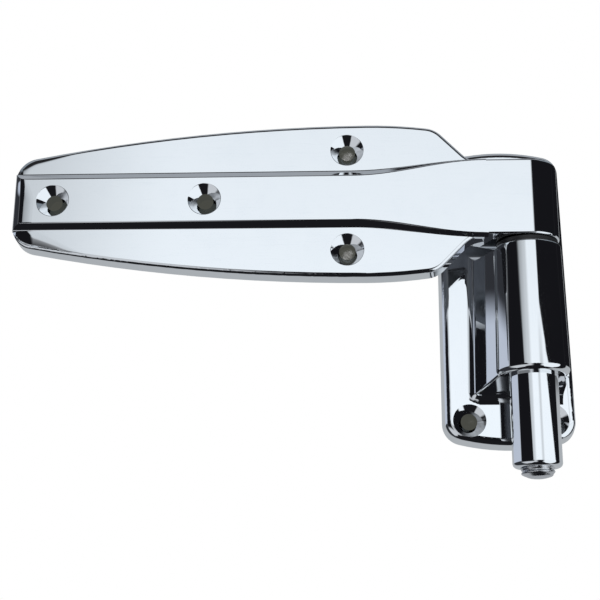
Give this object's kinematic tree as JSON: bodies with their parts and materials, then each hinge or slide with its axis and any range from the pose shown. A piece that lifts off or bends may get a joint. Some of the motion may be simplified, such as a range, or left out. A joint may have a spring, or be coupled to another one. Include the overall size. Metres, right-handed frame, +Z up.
{
  "type": "cam-rise hinge",
  "caption": "Chrome offset door hinge: a tapered, ribbed strap turns on a bracket's barrel and climbs a helical cam, so its weight and a spring in the tube below close the door.",
  "frame": {"origin": "centre of the bracket's screw pattern, on the plane of the bracket's back that lies against the door frame", "axes": "+X from the strap's free end towards the hinge axis, +Y from the viewer into the wall, +Z up along the hinge axis"},
  "size_m": [0.2395, 0.0426, 0.1503],
  "materials": {
    "bracket_chrome": "polished plated die casting",
    "strap_chrome": "polished plated die casting",
    "tube_chrome": "polished plated tube",
    "plug_steel": "bright steel thread",
    "lower_cam_black": "black moulded bearing plastic",
    "upper_cam_black": "black moulded bearing plastic",
    "bush_bronze": "turned bronze",
    "seat_steel": "plain steel",
    "spring_steel": "oiled spring steel",
    "washer_steel": "plain steel",
    "disc_white": "natural bearing plastic",
    "nut_steel": "zinc plated",
    "lock_nut_steel": "zinc plated",
    "spindle_steel": "ground steel",
    "pin_steel": "spring steel"
  },
  "bodies": {
    "bracket": {"jamb_bracket": "bracket_chrome", "spring_tube": "tube_chrome", "end_plug": "plug_steel", "guide_bush": "bush_bronze", "lower_cam": "lower_cam_black", "top_seat": "seat_steel"},
    "lifter": {"lift_washer": "washer_steel", "spring": "spring_steel"},
    "strap": {"door_strap": "strap_chrome", "upper_cam": "upper_cam_black", "spindle": "spindle_steel", "spindle_pin": "pin_steel", "thrust_disc": "disc_white", "spindle_nut": "nut_steel", "lock_nut": "lock_nut_steel"}
  },
  "joints": [
    {"name": "lift", "type": "slide", "parent": "bracket", "child": "lifter", "axis": [0, 0, 1], "range_m": [0, 0.01162], "stiffness_N_per_m": 3000, "springref_m": -0.012, "deforming": ["spring"]},
    {"name": "swing", "type": "hinge", "parent": "lifter", "child": "strap", "pos_m": [0.0075, -0.0277, 0.0329], "axis": [0, 0, 1], "range_deg": [0, 110]}
  ],
  "couplings": [
    {"joint": "lift", "follows": "swing", "m_per_rad": 0.0060479}
  ]
}
